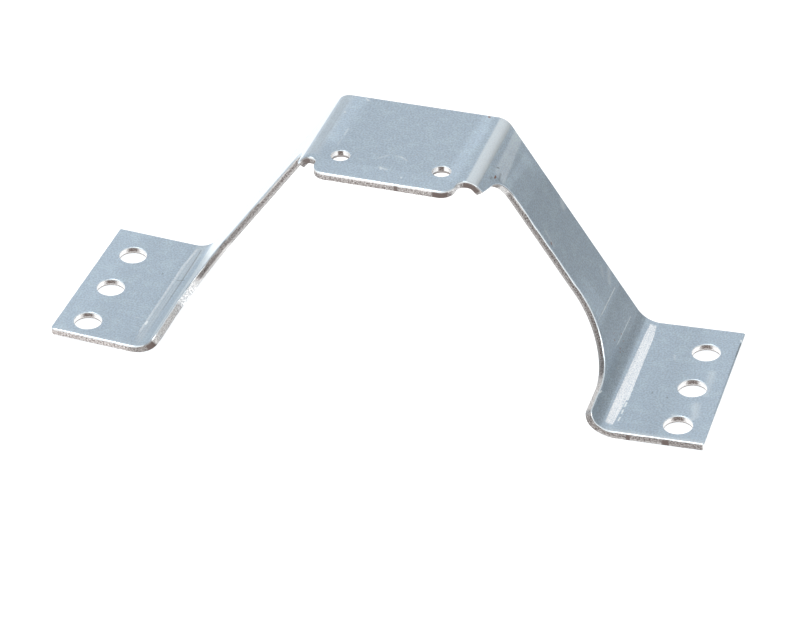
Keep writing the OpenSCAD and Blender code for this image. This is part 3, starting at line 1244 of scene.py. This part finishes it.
class ZincMaterial:
    """The material of one region as it is put together, with the marks that are there."""

    # Masks that one step of the work makes and a later step reads
    pale: Socket
    scuff_and_highlight: Socket
    wall: Socket
    tooth: Socket
    spark: Socket
    cut_highlight: Socket

    def __init__(self, region: Region, groups: Groups, look: ZincLook, marks: BlemishesAndShading) -> None:
        """Starts the material, reads the mesh's attributes and makes the grain.

        Args:
            region: The region.
            groups: The node groups.
            look: The colours and steps.
            marks: The marks of the whole sheet.
        """
        self.region = region
        self.groups = groups
        self.look = look
        self.marks = marks
        self.own = REGION_LOOKS[region]
        self.made = bpy.data.materials.new(f"galvanised_{region.name.lower()}")
        self.made.use_nodes = True
        graph = Graph(self.made.node_tree)
        self.graph = graph
        self.place = self.read("flat", "Vector")
        self.cut, self.run, self.bore = (self.read(name, "Fac") for name in ("cut", "run", "bore"))
        parts = graph.add("ShaderNodeSeparateXYZ", {"Vector": self.place}).outputs
        self.u, self.d, self.h = parts[0], parts[1], parts[2]
        self.top = graph.ramp(self.h, *look.top_step)
        self.fine = self.grain(self.place, look.fine_grain)
        self.cloud = self.grain(self.place, look.cloud_grain)
        self.freckle = self.grain(self.place, look.freckle_grain)
        inputs = {"Vector": self.place, "Scale": look.wander_scale, "Detail": look.wander_detail,
                  "Roughness": look.wander_rough}
        noise = graph.add("ShaderNodeTexNoise", inputs).outputs[0]
        self.wander = graph.less(noise, NOISE_MIDDLE)
        self.scrape = self.grain(self.place, look.scrape_grain)
        inputs = {"Vector": self.place, "Scale": look.shake_scale, "Detail": look.shake_detail}
        noise = graph.add("ShaderNodeTexNoise", inputs).outputs["Color"]
        shake = graph.vector("SUBTRACT", noise, (NOISE_MIDDLE, NOISE_MIDDLE, NOISE_MIDDLE))
        shake = graph.scaled(shake, look.shake_reach)
        self.bent = graph.vector("ADD", self.place, shake)

    def read(self, name: str, out: str) -> Socket:
        """Reads one of the mesh's attributes."""
        settings = {"attribute_name": name, "attribute_type": "GEOMETRY"}
        return self.graph.add("ShaderNodeAttribute", **settings).outputs[out]

    def grain(self, place: Socket, kind: Grain) -> Socket:
        """Makes grain.

        Args:
            place: Where it is looked up.
            kind: Its scale, detail, limits and stretch.

        Returns:
            The grain, from 0 to 1.
        """
        if kind.stretch:
            place = self.graph.vector("MULTIPLY", place, kind.stretch)
        inputs = {"Place": place, "Scale": kind.scale, "Detail": kind.detail,
                  "Low": kind.low, "High": kind.high}
        return self.graph.group(self.groups.grain, inputs)

    def drawn(self, items: tuple[Mark, ...]) -> Socket:
        """Draws marks on the top face.

        Args:
            items: Marks, of which those in the region are drawn.

        Returns:
            Their mask.
        """
        total: Value = 0.0
        for item in items:
            if not self.region.holds(item.start[0], item.stop[0]):
                continue
            inputs = {"Place": self.bent, "From": (*item.start, 0.0), "To": (*item.stop, 0.0),
                      "Width": item.width, "Softness": item.softness}
            mask = self.graph.group(self.groups.mark, inputs)
            total = self.graph.times_plus(mask, item.strength, total)
        return self.graph.math("MINIMUM", total, 1.0)

    def band(self, along: Value, ends: tuple[Value, Value], soft: Pair) -> Socket:
        """Draws one band and returns its mask."""
        inputs = {"Along": along, "From": ends[0], "To": ends[1], "Rise": soft[0], "Fall": soft[1]}
        return self.graph.group(self.groups.band, inputs)

    def bands(self, items: tuple[Band, ...]) -> Value:
        """Draws bands.

        Args:
            items: Bands, of which those in the region are drawn.

        Returns:
            The sum of their strengths.
        """
        graph = self.graph
        total: Value = 0.0
        for item in items:
            if not self.region.holds(*item.rear):
                continue
            along = graph.times_plus(self.wander, item.ragged * self.look.ragged_reach, self.u)
            ends: list[Value] = list(item.rear)
            if item.front:
                given = {"Value": self.d, "From Min": item.span[0], "From Max": item.span[1]}
                for i in range(2):
                    inputs = {**given, "To Min": item.rear[i], "To Max": item.front[i]}
                    ends[i] = graph.add("ShaderNodeMapRange", inputs).outputs["Result"]
            across = self.band(along, ends, item.soft)
            both = graph.times(across, self.band(self.d, item.span, (item.fade, item.fade)))
            total = graph.times_plus(both, item.strength, total)
        return total

    def face(self) -> Socket:
        """Colours the zinc and keeps the masks that its relief and its shine need.

        Returns:
            The colour, with painted highlights, sheen and shade.
        """
        graph, look, marks = self.graph, self.look, self.marks
        self.pale = self.drawn(marks.pale)
        rust = self.drawn(marks.rust)
        dark = self.drawn(marks.dark)
        # Painted light and shade, and wear with painted highlights, on the top face only
        tone = graph.times(self.bands(marks.light_shade_tones), self.top)
        wear_and_highlights = graph.times(self.bands(marks.wear_and_highlights), self.top)
        wear_and_highlights = graph.times(wear_and_highlights, graph.ramp(self.scrape, *look.wear_highlight_step), clamp=True)
        # Scuffs, partly painted highlight, broken up by streaks
        scuff_and_highlight = graph.times(self.bands(marks.scuffs_and_highlights), self.top)
        streaks = self.grain(self.place, look.streak_grain)
        streaked = graph.ramp(self.scrape, *look.streaked_step)
        streaked = graph.times_plus(streaks, look.streak_share, streaked)
        self.scuff_and_highlight = graph.times(scuff_and_highlight, streaked, clamp=True)
        level = graph.plus(tone, graph.ramp(self.fine, *look.fine_step))
        colour = graph.blend(self.cloud, look.coat, look.coat_pale)
        colour = graph.blend(1.0, colour, level, "MULTIPLY")
        colour = graph.blend(graph.times(self.freckle, look.speck_share), colour, look.speck)
        # Painted sheen where the surface is seen at a grazing angle
        painted_sheen = graph.add("ShaderNodeLayerWeight", {"Blend": look.sheen_blend}).outputs["Facing"]
        painted_sheen = graph.ramp(painted_sheen, *look.sheen_step)
        for mask, tint in (
            (wear_and_highlights, look.pale),
            (painted_sheen, look.pale),
            (self.scuff_and_highlight, look.scuff_highlight_white),
            (self.pale, look.pale),
            (dark, look.soot_and_shade),
            (rust, look.rust),
        ):
            colour = graph.blend(mask, colour, tint)
        # Painted highlight: the rolled edges are painted pale, and painted shade then darkens some
        # of them
        rim = graph.ramp(self.cut, *look.rim_step)
        if self.own.rim_step:
            rim = graph.times(rim, graph.ramp(self.u, *self.own.rim_step))
        colour = graph.blend(rim, colour, look.pale)
        # Painted shade on some rolled edges
        roll_shaded = graph.times(graph.ramp(self.cut, *look.roll_step), self.bands(marks.roll_shade))
        return graph.blend(roll_shaded, colour, look.roll_shade_grey)

    def sheared(self) -> Socket:
        """Colours the cut faces and keeps the masks that the holes and the relief need.

        Returns:
            The colour, with painted highlights and painted light and shade on some cut faces.
        """
        graph, look, marks = self.graph, self.look, self.marks
        self.wall = graph.ramp(self.cut, *look.wall_step)
        along = graph.add("ShaderNodeCombineXYZ", {"X": self.run, "Y": self.h}).outputs[0]
        self.tooth = self.grain(along, look.tooth_grain)
        self.spark = self.grain(along, look.spark_grain)
        steel = graph.blend(self.tooth, look.torn_deep, look.torn)
        shear = graph.times_plus(self.wander, look.shear_wander, self.h)
        shear = graph.ramp(shear, *look.shear_step)
        steel = graph.blend(graph.times(shear, self.own.burnished), steel, look.sheared)
        steel = graph.blend(graph.times(self.spark, look.spark_share), steel, look.sheared)
        flecks = graph.ramp(self.tooth, *look.fleck_step)
        flecks = graph.times_plus(self.spark, look.fleck_share, flecks)
        # Painted highlights on some cut faces
        self.cut_highlight = graph.times(self.bands(marks.cut_highlights), flecks, clamp=True)
        steel = graph.blend(self.cut_highlight, steel, look.sheared)
        under = graph.times(graph.ramp(self.h, *look.low_step), self.bands(marks.cut_low))
        steel = graph.blend(under, steel, look.sheared)
        # Painted light and shade on the cut faces
        tone = graph.plus(self.bands(marks.cut_light_and_shade), 1.0)
        steel = graph.blend(1.0, steel, tone, "MULTIPLY")
        smut = graph.times(self.bands(marks.smuts), graph.ramp(shear, *look.smut_step))
        return graph.blend(smut, steel, look.smut)

    def shaded_bore(self, steel: Socket) -> Socket:
        """Colours the walls of the holes, with painted shade on those that face the region's given
        direction.

        Args:
            steel: The colour of the other cut faces.

        Returns:
            The colour of all cut faces.
        """
        graph, look = self.graph, self.look
        small = graph.ramp(self.bore, *look.small_step)
        normal = graph.add("ShaderNodeNewGeometry").outputs["Normal"]
        # Painted shade: the walls that face the given direction are darkened, most in a core and
        # along a dark line at their foot; torn holds that shade
        facing = graph.vector("DOT_PRODUCT", normal, self.own.shaded_aim, out=1)
        facing = graph.times_plus(self.wander, look.facing_wander, facing)
        core = graph.ramp(facing, graph.ramp(small, *look.core_start), look.core_end)
        start = graph.ramp(small, *look.side_start)
        side = graph.ramp(facing, start, look.side_end, 0.0, look.side_share)
        side = graph.times(side, graph.ramp(self.tooth, *look.side_tooth))
        deep = graph.ramp(self.h, *look.deep_step)
        fading = graph.times(small, graph.ramp(self.h, *look.fading_step))
        torn = graph.most(graph.times(core, graph.most(deep, fading)), side)
        lip = graph.times_plus(self.wander, look.lip_wander, self.h)
        lip = graph.times_plus(small, look.lip_small, lip)
        lip = graph.ramp(lip, *look.lip_step)
        torn = graph.most(torn, lip)
        torn = graph.times(torn, graph.ramp(self.spark, *look.torn_spark))
        shaded_wall = graph.blend(torn, look.sheared, look.shaded_bore)
        return graph.blend(self.in_hole(), steel, shaded_wall)

    def in_hole(self) -> Socket:
        """Returns 1 on the edge of a hole and 0 elsewhere."""
        return self.graph.math("GREATER_THAN", self.bore, self.look.bored_least)

    def relief(self) -> Socket:
        """Makes the bumps.

        Returns:
            The normal.
        """
        graph, look = self.graph, self.look
        height = graph.times(self.cloud, look.cloud_relief)
        height = graph.times_plus(self.fine, look.fine_relief, height)
        height = graph.times_plus(self.pale, look.pale_relief, height)
        tooth = graph.times(self.tooth, self.wall)
        height = graph.times_plus(tooth, look.tooth_relief, height)
        inputs = {"Strength": look.bump_strength, "Distance": look.bump_mm * MM, "Height": height}
        return graph.add("ShaderNodeBump", inputs).outputs[0]

    def metal(self) -> Socket:
        """Works out how much of the surface shines as metal.

        Returns:
            The share of metal, which is less where light is scattered.
        """
        graph, look = self.graph, self.look
        bright = graph.times(self.in_hole(), graph.ramp(self.cut, *look.ring_step))
        bright = graph.times(bright, graph.less(1.0, self.wall))
        bright = graph.most(bright, graph.times_plus(self.pale, look.pale_bright, self.scuff_and_highlight))
        whitened = graph.times(graph.ramp(self.cut_highlight, *look.white_step), self.wall)
        bright = graph.most(bright, whitened)
        return graph.times_plus(bright, look.bright_metal, 1.0, clamp=True)

    def build(self) -> bpy.types.Material:
        """Puts the material together.

        Returns:
            The material.
        """
        graph, look = self.graph, self.look
        shader = self.made.node_tree.nodes["Principled BSDF"]
        colour = self.face()
        steel = self.shaded_bore(self.sheared())
        colour = graph.blend(self.wall, colour, steel)
        rough = graph.ramp(self.fine, *look.rough_step)
        rough = graph.plus(rough, graph.times(self.wall, look.wall_rough))
        normal = self.relief()
        graph.put(colour, shader.inputs["Base Color"])
        graph.put(rough, shader.inputs["Roughness"])
        graph.put(normal, shader.inputs["Normal"])
        graph.put(self.metal(), shader.inputs["Metallic"])
        LOG.info("%s: %d nodes", self.made.name, len(self.made.node_tree.nodes))
        return self.made


# The studio: the camera, the lamps, what is around them and the floor


@dataclass(frozen=True)
class CameraSizes:
    """The photograph's camera, in metres, and its axes as rows: right, up and back."""

    place: Triple = (0.18234591, -0.54311325, 0.41873673)
    right: Triple = (0.95248236, 0.30404667, -0.01824767)
    up: Triple = (-0.16362662, 0.56128096, 0.81128911)
    back: Triple = (0.25691182, -0.76975276, 0.58436034)
    lens: float = 128.859
    sensor: float = 36.0
    nearest: float = 0.01
    farthest: float = 20.0


class Lamp(NamedTuple):
    """A soft rectangular lamp that faces the bracket."""

    name: str
    place: Triple
    width: float
    height: float
    power: float


class Glow(NamedTuple):
    """A part of the surroundings that is lighter or darker, round the direction of its aim."""

    aim: Triple
    low: float
    high: float
    strength: float


@dataclass(frozen=True)
class StudioLook:
    """The lamps, and the tone of the surroundings and the floor, in metres."""

    lamps: tuple[Lamp, ...] = (Lamp("key", (-0.35, -0.45, 1.1), 0.6, 0.6, 7.5),)
    height_step: Step = Step(0.0, 0.9, 0.605, 0.585)
    shade: Glow = Glow((0.78, 0.75, -0.05), 0.80, 0.975, 0.17)
    glows: tuple[Glow, ...] = (
        Glow((0.1, 0.77, 0.66), 0.84, 0.99, 0.28),
        Glow((-0.6, 0.77, 0.25), 0.85, 0.98, 0.14),
        Glow((-0.26, -0.8, 0.5), 0.6, 0.95, 0.35),
    )
    warmth: Colour = (1.03, 1.01, 0.965, 1.0)
    floor_half: float = 4.0
    floor_colour: Colour = (0.40, 0.40, 0.40, 1.0)
    floor_seen: float = 0.85
    floor_mirrored: float = 0.9
    floor_darker: float = -0.8
    darker_x: Step = Step(-0.02, 0.13)
    darker_y: Step = Step(0.025, 0.07)


class Studio:
    """The floor, the lamps, the surroundings and the camera."""

    def __init__(self, look: StudioLook) -> None:
        """Takes the scene that is open.

        Args:
            look: The lamps and tones.
        """
        self.look = look
        self.scene = bpy.context.scene

    def camera(self, sizes: CameraSizes) -> None:
        """Sets up the photograph's camera.

        Args:
            sizes: Where it stands and how it is turned.
        """
        data = bpy.data.cameras.new("camera")
        data.lens = sizes.lens
        data.sensor_width = sizes.sensor
        data.clip_start = sizes.nearest
        data.clip_end = sizes.farthest
        item = bpy.data.objects.new("camera", data)
        turn = Matrix((sizes.right, sizes.up, sizes.back)).transposed()
        item.matrix_world = Matrix.Translation(sizes.place) @ turn.to_4x4()
        self.scene.collection.objects.link(item)
        self.scene.camera = item
        LOG.info("camera: %.1f mm lens", data.lens)

    def light(self) -> None:
        """Hangs the lamps."""
        for lamp in self.look.lamps:
            data = bpy.data.lights.new(lamp.name, "AREA")
            data.shape = "RECTANGLE"
            data.size = lamp.width
            data.size_y = lamp.height
            data.energy = lamp.power
            item = bpy.data.objects.new(lamp.name, data)
            item.location = lamp.place
            item.rotation_euler = (-Vector(lamp.place)).to_track_quat("-Z", "Y").to_euler()
            self.scene.collection.objects.link(item)
            LOG.info("lamp %s: %.1f W", lamp.name, lamp.power)

    @staticmethod
    def toward(graph: Graph, direction: Socket, glow: Glow) -> Socket:
        """Returns how close a direction is to a glow's aim, as 0 to 1."""
        aim = tuple(Vector(glow.aim).normalized())
        return graph.ramp(graph.vector("DOT_PRODUCT", direction, aim, out=1), glow.low, glow.high)

    @staticmethod
    def seen(graph: Graph, path: bpy.types.bpy_prop_collection) -> Socket:
        """Returns 1 for rays from the camera and for those that pass through things."""
        return graph.most(path["Is Camera Ray"], path["Is Transmission Ray"])

    def surround(self) -> None:
        """Makes the surroundings: white where the camera looks, and dimmer in the metal."""
        look = self.look
        world = bpy.data.worlds.new("studio")
        world.use_nodes = True
        self.scene.world = world
        graph = Graph(world.node_tree)
        direction = graph.add("ShaderNodeTexCoord").outputs["Generated"]
        level = graph.add("ShaderNodeSeparateXYZ", {"Vector": direction}).outputs[2]
        shade = self.toward(graph, direction, look.shade)
        tone = graph.ramp(level, *look.height_step)
        tone = graph.less(tone, graph.times(shade, look.shade.strength))
        for glow in look.glows:
            lighter = graph.times(self.toward(graph, direction, glow), glow.strength)
            tone = graph.plus(tone, lighter)
        warm = graph.blend(1.0, tone, look.warmth, "MULTIPLY")
        path = graph.add("ShaderNodeLightPath").outputs
        seen = self.seen(graph, path)
        colour = graph.blend(seen, graph.blend(shade, tone, warm), WHITE)
        graph.put(colour, world.node_tree.nodes["Background"].inputs["Color"])

    def paper(self) -> bpy.types.Material:
        """Makes the floor's material, which is darker in the metal behind the bracket's right.

        Returns:
            The material.
        """
        look = self.look
        paper = bpy.data.materials.new("white_paper")
        paper.use_nodes = True
        nodes = paper.node_tree.nodes
        graph = Graph(paper.node_tree)
        nodes.remove(nodes["Principled BSDF"])
        plain = graph.add("ShaderNodeBsdfDiffuse", {"Color": look.floor_colour})
        glow = graph.add("ShaderNodeEmission", {"Color": WHITE})
        path = graph.add("ShaderNodeLightPath").outputs
        place = graph.add("ShaderNodeNewGeometry").outputs["Position"]
        parts = graph.add("ShaderNodeSeparateXYZ", {"Vector": place}).outputs
        behind = graph.ramp(parts[0], *look.darker_x)
        behind = graph.times(behind, graph.ramp(parts[1], *look.darker_y))
        mirrored = graph.times_plus(behind, look.floor_darker, look.floor_mirrored)
        shown = graph.times(self.seen(graph, path), look.floor_seen)
        shown = graph.times_plus(path["Is Glossy Ray"], mirrored, shown)
        graph.put(shown, glow.inputs["Strength"])
        both = graph.add("ShaderNodeAddShader", {0: plain.outputs[0], 1: glow.outputs[0]})
        graph.put(both.outputs[0], nodes["Material Output"].inputs["Surface"])
        return paper

    def floor(self) -> None:
        """Lays the white floor, which keeps a faint shadow."""
        half = self.look.floor_half
        corners = [(-half, -half, 0.0), (half, -half, 0.0), (half, half, 0.0), (-half, half, 0.0)]
        mesh = bpy.data.meshes.new("floor")
        mesh.from_pydata(corners, [], [(0, 1, 2, 3)])
        mesh.materials.append(self.paper())
        item = bpy.data.objects.new("floor", mesh)
        self.scene.collection.objects.link(item)
        LOG.info("floor: %.1f m wide", 2 * half)

    def build(self) -> None:
        """Builds the whole studio."""
        self.camera(CameraSizes())
        self.light()
        self.surround()
        self.floor()
        self.scene.view_settings.view_transform = "Standard"


def main() -> None:
    """Builds the bracket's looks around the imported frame."""
    logging.basicConfig(level=logging.INFO, format="%(message)s")
    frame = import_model()
    LOG.info("frame: %d node(s)", len(frame["nodes"]))
    Studio(StudioLook()).build()
    piece = Bracket(SheetSizes(), CutSizes(), GridSizes(), seed=7).build()
    groups, look, marks = Groups(), ZincLook(), BlemishesAndShading()
    for region in Region:
        piece.data.materials.append(ZincMaterial(region, groups, look, marks).build())
    bpy.context.scene.collection.objects.link(piece)
    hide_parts("bracket")
    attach(piece, "root")
    LOG.info("%s: %d faces", piece.name, len(piece.data.polygons))
    bpy.context.view_layer.update()


if __name__ == "__main__":
    main()
